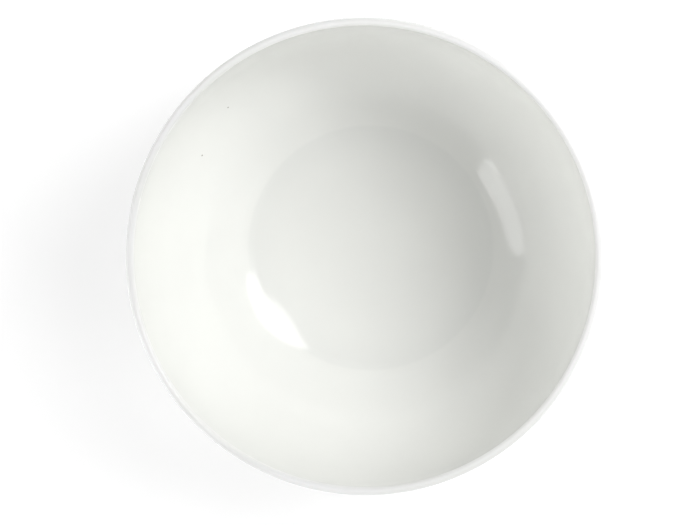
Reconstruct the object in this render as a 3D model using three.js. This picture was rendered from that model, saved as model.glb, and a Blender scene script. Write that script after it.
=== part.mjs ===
// A round porcelain evaporating dish: a fired body on a low foot ring, and the glaze fused over it.
// Millimetres, +Z up. The origin is the middle of the plane that the foot ring stands on.
import * as THREE from "three";

// Driving dimensions of the finished, glazed dish.
const RIM_RADIUS = 75;
const HEIGHT = 61;
const BOWL_DEPTH = 54; // from the top of the lip down to the middle of the floor
const LIP_THICKNESS = 2.6; // the lip is a full round
const FLOOR_RADIUS = 41; // out to the faint crease where the wall begins
const FLOOR_RISE = 4.8; // the floor is dished, and is this much higher at the crease
const FLOOR_POWER = 2.4; // how late the floor starts to rise
const CREASE_ROUNDING = 1.8; // the crease is rounded off over this much of the floor's edge
const FOOT_WALL_THICKNESS = 4.2; // the wall just above the foot ring
const FOOT_RADIUS = 41.6; // outside of the foot ring, under the wall
const FOOT_TAPER = 0.4; // the ring is this much narrower at the glaze line
const FOOT_FILLET = 1.2; // where the wall runs into the ring
const FOOT_LAND_OUTER = 40.5; // the flat ring that the dish stands on
const FOOT_LAND_INNER = 37;
const FOOT_CHAMFER = 0.7;
const RECESS_RADIUS = 35; // the shallow hollow inside the foot ring
const RECESS_DEPTH = 2.2;
const RECESS_DOME = 0.4; // the hollow is this much deeper in its middle
const GLAZE_THICKNESS = 0.3;
const GLAZE_LINE = 1.8; // the glaze stops here, above the standing face

// How the wall curves: its slope and the reach of its handle, at the crease and at the lip.
const CREASE_SLOPE = THREE.MathUtils.degToRad(29);
const CREASE_HANDLE = 19;
const LIP_SLOPE = THREE.MathUtils.degToRad(84);
const LIP_HANDLE = 29;
const WALL_START = 0.04; // how far along the wall the rounded crease ends

// Steps along each stretch of the outline, and round the axis.
const FLOOR_STEPS = 4;
const CREASE_STEPS = 3;
const WALL_STEPS = 9;
const LIP_STEPS = 6;
const OUTSIDE_STEPS = 8;
const TURN_STEPS = 64;

const porcelain = new THREE.MeshStandardMaterial({ color: 0xe9e7e0, roughness: 0.62, metalness: 0 });
const glaze = new THREE.MeshStandardMaterial({ color: 0xf1f2ee, roughness: 0.08, metalness: 0 });

const point = (radius, height) => new THREE.Vector2(radius, height);
const direction = (slope) => point(Math.cos(slope), Math.sin(slope));

// A place on the dished floor, which is level in the middle and rises ever faster towards the crease.
function floorPoint(radius) {
  return point(radius, HEIGHT - BOWL_DEPTH + FLOOR_RISE * (radius / FLOOR_RADIUS) ** FLOOR_POWER);
}

// The inside wall: one curve that steepens all the way from the crease to the lip.
function insideWall() {
  const crease = floorPoint(FLOOR_RADIUS);
  const end = point(RIM_RADIUS - LIP_THICKNESS, HEIGHT - LIP_THICKNESS / 2);
  return new THREE.CubicBezierCurve(
    crease,
    crease.clone().addScaledVector(direction(CREASE_SLOPE), CREASE_HANDLE),
    end.clone().addScaledVector(direction(LIP_SLOPE), -LIP_HANDLE),
    end,
  );
}

// The inside, from the axis out over the floor, round the soft crease and up the wall.
function insidePoints(wall) {
  const edge = FLOOR_RADIUS - CREASE_ROUNDING;
  const points = [];
  for (let i = 0; i < FLOOR_STEPS; i++) points.push(floorPoint((edge * i) / FLOOR_STEPS));
  const foot = wall.getPoint(WALL_START);
  const crease = new THREE.QuadraticBezierCurve(floorPoint(edge), floorPoint(FLOOR_RADIUS), foot);
  points.push(...crease.getPoints(CREASE_STEPS));
  for (let i = 1; i <= WALL_STEPS; i++) {
    points.push(wall.getPoint(THREE.MathUtils.lerp(WALL_START, 1, i / WALL_STEPS)));
  }
  return points;
}

// The lip: half a circle from the inside wall over to the outside.
function lip() {
  const round = LIP_THICKNESS / 2;
  return new THREE.EllipseCurve(RIM_RADIUS - round, HEIGHT - round, round, round, Math.PI, 0, true);
}

// The outside wall follows the inside one down to the foot ring, and thickens on the way.
function outsidePoints(wall) {
  const points = [];
  for (let i = 1; i <= OUTSIDE_STEPS; i++) {
    const along = 1 - i / OUTSIDE_STEPS;
    const tangent = wall.getTangent(along);
    const thickness = THREE.MathUtils.lerp(FOOT_WALL_THICKNESS, LIP_THICKNESS, along);
    points.push(wall.getPoint(along).addScaledVector(point(tangent.y, -tangent.x), thickness));
  }
  return points;
}

// The glazed surface's outline, from the axis out over the floor, wall and lip, down to the glaze line.
function glazedOutline() {
  const wall = insideWall();
  const outside = outsidePoints(wall);
  const corner = outside[outside.length - 1].y - FOOT_FILLET;
  return [
    ...insidePoints(wall),
    ...lip().getPoints(LIP_STEPS).slice(1),
    ...outside,
    point(FOOT_RADIUS, corner),
    point(FOOT_RADIUS - FOOT_TAPER, GLAZE_LINE),
  ];
}

// The same outline moved into the wall by the glaze's thickness, which is the surface of the body.
function beddedOutline(outline) {
  return outline.map((place, i) => {
    if (i === 0) return point(0, place.y - GLAZE_THICKNESS);
    const next = outline[Math.min(i + 1, outline.length - 1)];
    const tangent = next.clone().sub(outline[i - 1]).normalize();
    return place.clone().addScaledVector(point(tangent.y, -tangent.x), GLAZE_THICKNESS);
  });
}

// The bare underside, from the glaze line down round the foot ring and in to the axis.
function bareOutline() {
  return [
    point(FOOT_LAND_OUTER + FOOT_CHAMFER / 2, FOOT_CHAMFER),
    point(FOOT_LAND_OUTER, 0),
    point(FOOT_LAND_INNER, 0),
    point(FOOT_LAND_INNER - FOOT_CHAMFER / 2, FOOT_CHAMFER),
    point(RECESS_RADIUS, RECESS_DEPTH),
    point(0, RECESS_DEPTH + RECESS_DOME),
  ];
}

// A solid of revolution about +Z, from an outline that runs anticlockwise round its section.
function turned(name, outline, material) {
  const geometry = new THREE.LatheGeometry(outline, TURN_STEPS);
  geometry.rotateX(Math.PI / 2);
  const mesh = new THREE.Mesh(geometry, material);
  mesh.name = name;
  return mesh;
}

const glazed = glazedOutline();
const bedded = beddedOutline(glazed);

const dish = new THREE.Group();
dish.add(turned("porcelain_body", [...bedded, ...bareOutline()].reverse(), porcelain));
dish.add(turned("glaze_coat", [...bedded, ...glazed.reverse()], glaze));

export default dish;
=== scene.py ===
"""The looks of a glazed porcelain evaporating dish, seen from just off its axis on a pale floor.

The dish is one fired body under a coat of glaze. Each is turned from the same outline as its CAD node,
as a fine closed mesh, and replaces it. Everything is in metres, in the row frame: +Z up, out of the mouth.
"""
import math

import bpy
from mathutils import Matrix, Quaternion, Vector, noise


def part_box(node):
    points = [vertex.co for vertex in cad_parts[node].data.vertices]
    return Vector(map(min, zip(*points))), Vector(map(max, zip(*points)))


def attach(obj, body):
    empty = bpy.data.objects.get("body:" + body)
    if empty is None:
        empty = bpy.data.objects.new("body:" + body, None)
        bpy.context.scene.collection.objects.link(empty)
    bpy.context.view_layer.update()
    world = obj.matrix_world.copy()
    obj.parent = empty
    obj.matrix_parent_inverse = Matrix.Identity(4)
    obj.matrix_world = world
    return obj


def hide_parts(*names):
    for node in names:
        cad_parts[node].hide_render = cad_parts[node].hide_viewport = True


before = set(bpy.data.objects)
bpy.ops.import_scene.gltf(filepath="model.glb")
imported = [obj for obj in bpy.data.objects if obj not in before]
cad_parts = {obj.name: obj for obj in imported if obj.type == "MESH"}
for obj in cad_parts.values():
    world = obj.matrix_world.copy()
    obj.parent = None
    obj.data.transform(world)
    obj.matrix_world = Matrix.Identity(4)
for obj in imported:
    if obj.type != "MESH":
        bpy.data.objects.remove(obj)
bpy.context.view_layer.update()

MM = 0.001

# The finished dish. Its rim and height come from the frame, and the rest are the CAD model's dimensions.
RIM_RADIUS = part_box("glaze_coat")[1][0]
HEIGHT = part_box("glaze_coat")[1][2]
BOWL_DEPTH = 54 * MM
LIP_THICKNESS = 2.6 * MM
FLOOR_RADIUS = 41 * MM
FLOOR_RISE = 4.8 * MM
FLOOR_POWER = 2.4
FOOT_WALL_THICKNESS = 4.2 * MM
FOOT_RADIUS = 41.6 * MM
FOOT_TAPER = 0.4 * MM
FOOT_FILLET = 1.2 * MM
FOOT_LAND_OUTER = 40.5 * MM
FOOT_LAND_INNER = 37 * MM
FOOT_CHAMFER = 0.7 * MM
RECESS_RADIUS = 35 * MM
RECESS_DEPTH = 2.2 * MM
RECESS_DOME = 0.4 * MM
GLAZE_THICKNESS = 0.3 * MM
GLAZE_LINE = 1.8 * MM
BED_BOTTOM = HEIGHT - BOWL_DEPTH - GLAZE_THICKNESS  # the middle of the bowl, under the glaze

# How the inside wall curves: its slope and the reach of its handle, at the crease and at the lip.
CREASE_SLOPE, CREASE_HANDLE = math.radians(29), 19 * MM
LIP_SLOPE, LIP_HANDLE = math.radians(84), 29 * MM
CREASE_ROUNDING = 2.4 * MM  # the crease is rounded off over this much of the floor's edge
WALL_START = 0.05  # how far along the wall the rounded crease ends

# How finely the outline and the turn are divided.
FLOOR_STEPS = 44
WALL_STEPS = 84
LIP_STEPS = 22
OUTSIDE_STEPS = 72
CREASE_STEPS = 14
CORNER_STEPS = 6
TURN_STEPS = 288
BED_STRIDE = 3  # the hidden surface between glaze and body needs fewer steps
CORNER_SHARE = 0.45  # a rounded corner takes up at most this share of each side

# The dish was turned and fired by hand and kiln, so no surface is quite true.
WARP_LENGTH, WARP_HEIGHT = 34 * MM, 0.16 * MM
RIPPLE_LENGTH, RIPPLE_HEIGHT = 9 * MM, 0.012 * MM
RIPPLE_START = Vector((7, 3, 5))  # keeps the ripple's noise apart from the warp's
WARP_FADE = 6 * MM  # the warp fades out between 1.5 and 0.5 times this height, so the foot stands flat

# How far the crease and the glaze's edge stray, over what width, and in how many waves.
CREASE_WANDER, CREASE_REACH, CREASE_WAVES = 1.1 * MM, 6 * MM, 2.3
CREASE_START = Vector((1, 9, 4))
GLAZE_LINE_WANDER, GLAZE_LINE_REACH, GLAZE_LINE_WAVES = 0.3 * MM, 1 * MM, 9

# The camera, a little off the axis on the side of +X and +Y.
CAMERA_DISTANCE = 10 * RIM_RADIUS
CAMERA_TILT = math.radians(4.7)
CAMERA_SIDE = math.radians(54.6)
LENS_MM = 123.1
SHIFT_X, SHIFT_Y = -0.0194, -0.0066

# The studio.
LIGHT_DISTANCE = 0.8
FLOOR_REACH = 2.0
FLOOR_WHITE = 0.62
FLOOR_GLOW = (0.47, 0.78)  # near the dish, and far from it
FLOOR_GLOW_REACH = (0.07, 0.4)
ROOM_LIGHT = 0.02  # what the room itself adds to the dish
ROOM_PALE = 0.78  # how the room looks beyond the floor's edge

# Colours, as linear red, green, blue and alpha.
GLAZE_INSIDE = (0.855, 0.862, 0.832, 1)
GLAZE_OUTSIDE = (0.87, 0.87, 0.866, 1)
GLAZE_CLOUD = (0.838, 0.844, 0.818, 1)
# Painted shade: the darker glaze colour of the ring just inside the crease.
GLAZE_CREASE_SHADE = (0.818, 0.826, 0.8, 1)
SPECK = (0.20, 0.17, 0.13, 1)
BISQUE = (0.80, 0.775, 0.715, 1)
BISQUE_DARK = (0.74, 0.71, 0.65, 1)
BISQUE_GRAIN = (0.88, 0.86, 0.81, 1)
BISQUE_TOASTED = (0.56, 0.42, 0.28, 1)
SCUFF = (0.42, 0.41, 0.40, 1)

# The glaze: its pin specks, slow waves with a fine peel on them, clouds, and a painted shade: a darker ring
# inside the crease.
SPECK_SPACING, SPECK_SIZE, SPECK_RARITY, SPECK_DEPTH = 9 * MM, 0.42 * MM, 0.955, 0.75
WAVE_LENGTH, PEEL_LENGTH, PEEL_SHARE = 17 * MM, 3.2 * MM, 0.12
GLAZE_WAVE = 0.02 * MM
CLOUD_LENGTH, CLOUD_SHARE = 30 * MM, 0.6
CREASE_SHADE_WIDTH = 14 * MM
CREASE_SHADE_EDGE = (0.8 * MM, 0.5 * MM)  # the painted shade ring fades out from this far inside the crease to this far past it
LIP_BAND = 3 * MM  # the glaze is thinnest over this much of the lip
GLOSS_LENGTH, GLOSS_ROUGHNESS = 18 * MM, (0.07, 0.11)

# The bare porcelain: its grain and clouds, the toasted edge along the glaze, and the scuffed foot.
GRAIN_LENGTH, GRAIN_DEPTH = 0.5 * MM, 0.03 * MM
BISQUE_CLOUD_LENGTH = 9 * MM
TOAST_WIDTH, TOAST_LENGTH, TOAST_SHARE = 0.8 * MM, 5 * MM, 0.6
SCUFF_LENGTH, SCUFF_SHARE = 1.6 * MM, 0.5
BISQUE_ROUGHNESS = (0.55, 0.78)


# ---------------------------------------------------------------- outlines, as (radius, height) vectors

def direction(slope):
    """One unit along a slope, as a (radius, height) vector."""
    return Vector((math.cos(slope), math.sin(slope)))


def bezier(start, handle, far_handle, end, t):
    """The place and unit tangent at t on a cubic curve."""
    u = 1 - t
    place = start * u**3 + handle * (3 * u * u * t) + far_handle * (3 * u * t * t) + end * t**3
    tangent = (handle - start) * (u * u) + (far_handle - handle) * (2 * u * t)
    tangent += (end - far_handle) * (t * t)
    return place, tangent.normalized()


def curve_point(start, corner, end, t):
    """The place at t on the curve that rounds off a corner."""
    return start * (1 - t) ** 2 + corner * (2 * t * (1 - t)) + end * t * t


def arc(centre, radius, start, end, steps):
    """Points on a circle from one angle to another, ends included."""
    return [centre + direction(start + (end - start) * i / steps) * radius for i in range(steps + 1)]


def rounded(corners, radius):
    """An open outline with every inner corner replaced by a small curve."""
    points = [corners[0]]
    for before, corner, after in zip(corners, corners[1:], corners[2:]):
        back, on = before - corner, after - corner
        reach = min(radius, back.length * CORNER_SHARE, on.length * CORNER_SHARE)
        start, end = corner + back.normalized() * reach, corner + on.normalized() * reach
        for i in range(CORNER_STEPS + 1):
            points.append(curve_point(start, corner, end, i / CORNER_STEPS))
    points.append(corners[-1])
    return points


def offset(outline, distance):
    """The outline moved to the right of its direction of travel, which is into the wall."""
    moved = []
    for i, place in enumerate(outline):
        before, after = outline[max(i - 1, 0)], outline[min(i + 1, len(outline) - 1)]
        tangent = (after - before).normalized()
        moved.append(place + Vector((tangent.y, -tangent.x)) * distance)
    moved[0].x = outline[0].x
    return moved


def floor_at(share):
    """A place on the dished floor, at a share of its radius."""
    return Vector((FLOOR_RADIUS * share, HEIGHT - BOWL_DEPTH + FLOOR_RISE * share**FLOOR_POWER))


def wall_at(along):
    """The place and unit tangent on the inside wall, from 0 at the crease to 1 at the lip."""
    crease = floor_at(1)
    end = Vector((RIM_RADIUS - LIP_THICKNESS, HEIGHT - LIP_THICKNESS / 2))
    handle = crease + direction(CREASE_SLOPE) * CREASE_HANDLE
    far_handle = end - direction(LIP_SLOPE) * LIP_HANDLE
    return bezier(crease, handle, far_handle, end, along)


def inside_outline():
    """Over the floor, round the soft crease and up the wall to the lip."""
    edge = 1 - CREASE_ROUNDING / FLOOR_RADIUS
    floor = [floor_at(edge * math.sin(math.pi / 2 * i / FLOOR_STEPS)) for i in range(FLOOR_STEPS + 1)]
    start, corner, end = floor[-1], floor_at(1), wall_at(WALL_START)[0]
    crease = [curve_point(start, corner, end, i / CREASE_STEPS) for i in range(1, CREASE_STEPS + 1)]
    wall = []
    for i in range(1, WALL_STEPS + 1):
        wall.append(wall_at(WALL_START + (1 - WALL_START) * i / WALL_STEPS)[0])
    return floor + crease + wall


def outside_wall():
    """From under the lip down to the foot ring, thickening on the way."""
    points = []
    for i in range(1, OUTSIDE_STEPS + 1):
        along = 1 - i / OUTSIDE_STEPS
        place, tangent = wall_at(along)
        thickness = FOOT_WALL_THICKNESS + (LIP_THICKNESS - FOOT_WALL_THICKNESS) * along
        points.append(place + Vector((tangent.y, -tangent.x)) * thickness)
    return points


def glazed_outline():
    """The glazed surface, from the axis out over the floor, wall and lip, and down to the glaze line."""
    lip_round = LIP_THICKNESS / 2
    lip = arc(Vector((RIM_RADIUS - lip_round, HEIGHT - lip_round)), lip_round, math.pi, 0, LIP_STEPS)
    outside = outside_wall()
    corner = Vector((FOOT_RADIUS, outside[-1].y - FOOT_FILLET))
    foot = rounded([outside[-1], corner, Vector((FOOT_RADIUS - FOOT_TAPER, GLAZE_LINE))], FOOT_FILLET)
    return inside_outline() + lip[1:] + outside + foot[1:]


def bare_outline():
    """The underside, from the glaze line round the foot ring and in to the axis."""
    chamfer = FOOT_CHAMFER / 2
    return rounded(
        [
            Vector((FOOT_RADIUS - FOOT_TAPER - GLAZE_THICKNESS, GLAZE_LINE)),
            Vector((FOOT_LAND_OUTER + chamfer, FOOT_CHAMFER)),
            Vector((FOOT_LAND_OUTER, 0)),
            Vector((FOOT_LAND_INNER, 0)),
            Vector((FOOT_LAND_INNER - chamfer, FOOT_CHAMFER)),
            Vector((RECESS_RADIUS, RECESS_DEPTH)),
            Vector((0, RECESS_DEPTH + RECESS_DOME)),
        ],
        FOOT_CHAMFER,
    )


# ---------------------------------------------------------------- meshes

def bump(distance, reach):
    """A smooth window: 1 at no distance, and next to nothing beyond the reach."""
    return math.exp(-((2 * distance / reach) ** 2))


def warp(place):
    """How far the surface stands off its true shape at a place, as a displacement."""
    low = noise.noise(place / WARP_LENGTH) * WARP_HEIGHT
    fine = noise.noise(place / RIPPLE_LENGTH + RIPPLE_START) * RIPPLE_HEIGHT
    rise = (low + fine) * min(max(place.z / WARP_FADE - 0.5, 0), 1)
    radius = math.hypot(place.x, place.y)
    if radius < FLOOR_RADIUS / 2:
        return Vector((0, 0, rise))
    around = Vector((place.x, place.y, 0)) / radius
    if place.z < BED_BOTTOM:  # on the foot ring only the glaze's edge strays, and inside it nothing does
        stray = noise.noise(around * GLAZE_LINE_WAVES) * GLAZE_LINE_WANDER
        on_edge = bump(place.z - GLAZE_LINE, GLAZE_LINE_REACH) if radius > FOOT_LAND_OUTER else 0
        return Vector((0, 0, rise + stray * on_edge))
    stray = noise.noise(around * CREASE_WAVES + CREASE_START) * CREASE_WANDER
    return around * (stray * bump(radius - FLOOR_RADIUS, CREASE_REACH)) + Vector((0, 0, rise))


def turned(name, outline, material):
    """A closed solid of revolution about +Z, whose outline starts and ends on the axis."""
    rings, points = [], []
    for radius, height in outline:
        steps = TURN_STEPS if radius > 0 else 1
        rings.append(range(len(points), len(points) + steps))
        for k in range(steps):
            turn = 2 * math.pi * k / TURN_STEPS
            around = Vector((math.cos(turn), math.sin(turn), 0))
            place = around * radius + Vector((0, 0, height))
            points.append(place + warp(place))
    faces = []
    for low, high in zip(rings, rings[1:]):
        for k in range(TURN_STEPS):
            a, b = low[k % len(low)], low[(k + 1) % len(low)]
            c, d = high[(k + 1) % len(high)], high[k % len(high)]
            corners = [d, c, b, a]
            faces.append([v for j, v in enumerate(corners) if v not in corners[:j]])
    mesh = bpy.data.meshes.new(name)
    mesh.from_pydata(points, [], faces)
    mesh.validate()
    mesh.shade_smooth()
    mesh.materials.append(material)
    piece = bpy.data.objects.new(name, mesh)
    bpy.context.scene.collection.objects.link(piece)
    return piece


# ---------------------------------------------------------------- materials

class Paint:
    """A new material, and the nodes that it is made of."""

    def __init__(self, name):
        self.material = bpy.data.materials.new(name)
        self.material.use_nodes = True
        self.tree = self.material.node_tree
        self.shader = self.tree.nodes["Principled BSDF"]
        self.place = self.add("ShaderNodeTexCoord", {}).outputs["Object"]

    def feed(self, target, value):
        """Link a socket to a node's input, or set the input to a plain value."""
        if isinstance(value, bpy.types.NodeSocket):
            self.tree.links.new(value, target)
        else:
            target.default_value = value

    def add(self, kind, inputs, **settings):
        node = self.tree.nodes.new(kind)
        for name, value in settings.items():
            setattr(node, name, value)
        for name, value in inputs.items():
            self.feed(node.inputs[name], value)
        return node

    def set(self, name, value):
        self.feed(self.shader.inputs[name], value)

    def mottle(self, length, detail=2.0, stretch=(1, 1, 1)):
        """Soft noise from 0 to 1, whose blots are about this long."""
        place = self.add("ShaderNodeMapping", {"Vector": self.place, "Scale": stretch}).outputs[0]
        inputs = {"Vector": place, "Scale": 1 / length, "Detail": detail, "Roughness": 0.5}
        return self.add("ShaderNodeTexNoise", inputs).outputs[0]

    def ramp(self, value, low, high, to_low=0.0, to_high=1.0):
        """The value carried smoothly from one range to another, and held at its ends."""
        inputs = {
            "Value": value,
            "From Min": low,
            "From Max": high,
            "To Min": to_low,
            "To Max": to_high,
        }
        return self.add("ShaderNodeMapRange", inputs, interpolation_type="SMOOTHSTEP").outputs[0]

    def sum(self, first, second, operation="ADD"):
        return self.add("ShaderNodeMath", {0: first, 1: second}, operation=operation).outputs[0]

    def times(self, first, second):
        return self.sum(first, second, "MULTIPLY")

    def blend(self, share, first, second):
        """One colour at a share of 0, the other at 1."""
        return self.add("ShaderNodeMix", {0: share, 6: first, 7: second}, data_type="RGBA").outputs[2]

    def vector(self, operation, first, *second):
        inputs = dict(enumerate((first, *second)))
        return self.add("ShaderNodeVectorMath", inputs, operation=operation)

    def flat(self):
        """The place, without its height."""
        return self.vector("MULTIPLY", self.place, (1, 1, 0)).outputs[0]

    def radius(self):
        """How far a place is from the dish's axis."""
        return self.vector("LENGTH", self.flat()).outputs["Value"]

    def distance(self, value, level):
        """How far a value is from a level, either way."""
        return self.sum(self.sum(value, -level), 0, "ABSOLUTE")

    def height(self):
        return self.add("ShaderNodeSeparateXYZ", {0: self.place}).outputs[2]

    def outward(self):
        """1 where the surface faces away from the axis, and 0 where it faces in or up."""
        normal = self.add("ShaderNodeTexCoord", {}).outputs["Normal"]
        return self.ramp(self.vector("DOT_PRODUCT", self.flat(), normal).outputs["Value"], 0, 10 * MM)

    def relief(self, height, distance):
        inputs = {"Height": height, "Strength": 1.0, "Distance": distance}
        self.set("Normal", self.add("ShaderNodeBump", inputs).outputs[0])


def glaze_paint():
    """Clear gloss glaze over white: faintly warm inside, and neutral on the lip and outside."""
    paint = Paint("glaze")
    lip = paint.ramp(paint.height(), HEIGHT - LIP_BAND, HEIGHT)
    thin = paint.sum(paint.outward(), lip, "MAXIMUM")
    colour = paint.blend(thin, GLAZE_INSIDE, GLAZE_OUTSIDE)
    cloud = paint.ramp(paint.mottle(CLOUD_LENGTH, 3), 0.35, 0.65)
    colour = paint.blend(paint.times(cloud, CLOUD_SHARE), colour, GLAZE_CLOUD)
    # Painted shade: a darker ring painted into the glaze just inside the crease.
    inside_edge, outside_edge = FLOOR_RADIUS - CREASE_SHADE_EDGE[0], FLOOR_RADIUS + CREASE_SHADE_EDGE[1]
    inside_crease = paint.ramp(paint.radius(), inside_edge, outside_edge, 1, 0)
    crease_shade = paint.times(inside_crease, paint.ramp(paint.radius(), FLOOR_RADIUS - CREASE_SHADE_WIDTH, FLOOR_RADIUS))
    colour = paint.blend(crease_shade, colour, GLAZE_CREASE_SHADE)
    grains = paint.add("ShaderNodeTexVoronoi", {"Vector": paint.place, "Scale": 1 / SPECK_SPACING})
    chance = paint.add("ShaderNodeSeparateColor", {0: grains.outputs["Color"]}).outputs[0]
    edge = SPECK_SIZE / SPECK_SPACING
    dot = paint.ramp(grains.outputs["Distance"], edge / 2, edge, 1, 0)
    rare = paint.ramp(chance, SPECK_RARITY, SPECK_RARITY + 0.01)
    colour = paint.blend(paint.times(paint.times(dot, rare), SPECK_DEPTH), colour, SPECK)
    paint.set("Base Color", colour)
    paint.set("Roughness", paint.ramp(paint.mottle(GLOSS_LENGTH, 4), 0.3, 0.7, *GLOSS_ROUGHNESS))
    peel = paint.times(paint.mottle(PEEL_LENGTH, 1), PEEL_SHARE)
    waves = paint.mottle(WAVE_LENGTH, 1, stretch=(1, 1, 0.6))
    paint.relief(paint.sum(waves, peel), GLAZE_WAVE)
    return paint.material


def bisque_paint():
    """Bare fired porcelain: a chalky grain, toasted at the glaze's edge and scuffed where it stands."""
    paint = Paint("bisque")
    grain = paint.mottle(GRAIN_LENGTH, 4)
    colour = paint.blend(paint.ramp(paint.mottle(BISQUE_CLOUD_LENGTH, 3), 0.3, 0.7), BISQUE, BISQUE_DARK)
    colour = paint.blend(paint.ramp(grain, 0.35, 0.75, 0, 0.35), colour, BISQUE_GRAIN)
    near_line = paint.ramp(paint.distance(paint.height(), GLAZE_LINE), 0, TOAST_WIDTH, TOAST_SHARE, 0)
    toast = paint.times(near_line, paint.ramp(paint.mottle(TOAST_LENGTH), 0.3, 0.7))
    on_wall = paint.ramp(paint.radius(), FOOT_LAND_OUTER - 0.5 * MM, FOOT_LAND_OUTER + 0.3 * MM)
    colour = paint.blend(paint.times(toast, on_wall), colour, BISQUE_TOASTED)
    standing = paint.ramp(paint.height(), 0.05 * MM, 0.3 * MM, 1, 0)
    scuff = paint.ramp(paint.mottle(SCUFF_LENGTH, 5, stretch=(1, 0.35, 1)), 0.52, 0.66)
    colour = paint.blend(paint.times(paint.times(standing, scuff), SCUFF_SHARE), colour, SCUFF)
    paint.set("Base Color", colour)
    paint.set("Roughness", paint.ramp(grain, 0.3, 0.7, *BISQUE_ROUGHNESS))
    paint.set("Specular IOR Level", 0.35)
    paint.relief(grain, GRAIN_DEPTH)
    return paint.material


# ---------------------------------------------------------------- the dish

def stand_for(piece, node):
    """Let the piece replace its CAD node."""
    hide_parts(node)
    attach(piece, "root")


glaze_material = glaze_paint()
bisque_material = bisque_paint()
glazed = glazed_outline()
bedded = offset(glazed, GLAZE_THICKNESS)
bedded = bedded[:-1:BED_STRIDE] + bedded[-1:]
glaze_skin = turned("glaze_skin", glazed + bedded[::-1], glaze_material)
fired_body = turned("fired_body", bedded + bare_outline()[1:], bisque_material)
stand_for(glaze_skin, "glaze_coat")
stand_for(fired_body, "porcelain_body")


# ---------------------------------------------------------------- floor, light and camera

def plain_floor():
    """A pale square floor that glows faintly, and more so away from the dish."""
    corners = [(x * FLOOR_REACH, y * FLOOR_REACH, 0) for x, y in ((-1, -1), (1, -1), (1, 1), (-1, 1))]
    mesh = bpy.data.meshes.new("floor")
    mesh.from_pydata(corners, [], [(0, 1, 2, 3)])
    paint = Paint("floor_white")
    paint.set("Base Color", (FLOOR_WHITE, FLOOR_WHITE, FLOOR_WHITE, 1))
    paint.set("Roughness", 0.8)
    paint.set("Specular IOR Level", 0.1)
    paint.set("Emission Color", (1, 1, 1, 1))
    paint.set("Emission Strength", paint.ramp(paint.radius(), *FLOOR_GLOW_REACH, *FLOOR_GLOW))
    mesh.materials.append(paint.material)
    floor = bpy.data.objects.new("floor", mesh)
    bpy.context.scene.collection.objects.link(floor)


def on_sphere(polar, azimuth):
    """The direction at an angle off +Z, and another round it."""
    return Vector((
        math.sin(polar) * math.cos(azimuth),
        math.sin(polar) * math.sin(azimuth),
        math.cos(polar),
    ))


def softbox(name, azimuth, polar, width, height, watts, roll=0, mirrored=True):
    """An oval light aimed at the bowl, from azimuth round +Z and polar off +Z, and rolled, in degrees.

    One that isn't mirrored lights the dish, but doesn't show as a highlight in the glaze.
    """
    toward = on_sphere(math.radians(polar), math.radians(azimuth))
    lamp = bpy.data.lights.new(name, "AREA")
    lamp.shape = "ELLIPSE"
    lamp.size, lamp.size_y = width, height
    lamp.energy = watts
    holder = bpy.data.objects.new(name, lamp)
    holder.location = Vector((0, 0, HEIGHT / 2)) + toward * LIGHT_DISTANCE
    holder.rotation_mode = "QUATERNION"
    aim = (-toward).to_track_quat("-Z", "Y")
    holder.rotation_quaternion = aim @ Quaternion((0, 0, 1), math.radians(roll))
    holder.visible_glossy = mirrored
    bpy.context.scene.collection.objects.link(holder)


def camera():
    """The view down into the bowl from just off its axis, with +Y up in the picture."""
    back = on_sphere(CAMERA_TILT, CAMERA_SIDE)
    right = Vector((0, 1, 0)).cross(back).normalized()
    up = back.cross(right)
    lens = bpy.data.cameras.new("camera")
    lens.lens = LENS_MM
    lens.shift_x, lens.shift_y = SHIFT_X, SHIFT_Y
    holder = bpy.data.objects.new("camera", lens)
    holder.matrix_world = Matrix((right, up, back)).transposed().to_4x4()
    holder.location = Vector((0, 0, HEIGHT - LIP_THICKNESS / 2)) + back * CAMERA_DISTANCE
    bpy.context.scene.collection.objects.link(holder)
    bpy.context.scene.camera = holder


def room():
    """A dim room that looks pale where the picture shows it past the floor."""
    world = bpy.data.worlds.new("studio")
    world.use_nodes = True
    tree = world.node_tree
    background = tree.nodes["Background"]
    background.inputs["Color"].default_value = (1, 1, 1, 1)
    seen = tree.nodes.new("ShaderNodeLightPath").outputs["Is Camera Ray"]
    strength = tree.nodes.new("ShaderNodeMapRange")
    strength.inputs["To Min"].default_value = ROOM_LIGHT
    strength.inputs["To Max"].default_value = ROOM_PALE
    tree.links.new(seen, strength.inputs["Value"])
    tree.links.new(strength.outputs[0], background.inputs["Strength"])
    bpy.context.scene.world = world


plain_floor()
softbox("key", 27, 36, 0.37, 0.52, 2.3, roll=-22)
softbox("low", 201, 67, 0.5, 0.26, 0.88)
softbox("key_spread", 36, 54, 0.4, 0.3, 1.87, mirrored=False)
softbox("fill_right", 5, 50, 0.3, 0.3, 1.15, mirrored=False)
softbox("fill_left", 214, 74, 0.3, 0.3, 2.7, mirrored=False)
softbox("fill_side", 325, 55, 0.3, 0.3, 1.15, mirrored=False)
softbox("fill_top", 115, 56, 0.3, 0.3, 0.7, mirrored=False)
softbox("fill_far", 150, 50, 0.3, 0.3, 0.68, mirrored=False)
softbox("fill_under", 270, 62, 0.3, 0.3, 0.53, mirrored=False)
softbox("fill_front", 0, 6, 0.4, 0.4, 0.4, mirrored=False)
camera()
room()
bpy.context.scene.view_settings.view_transform = "Standard"
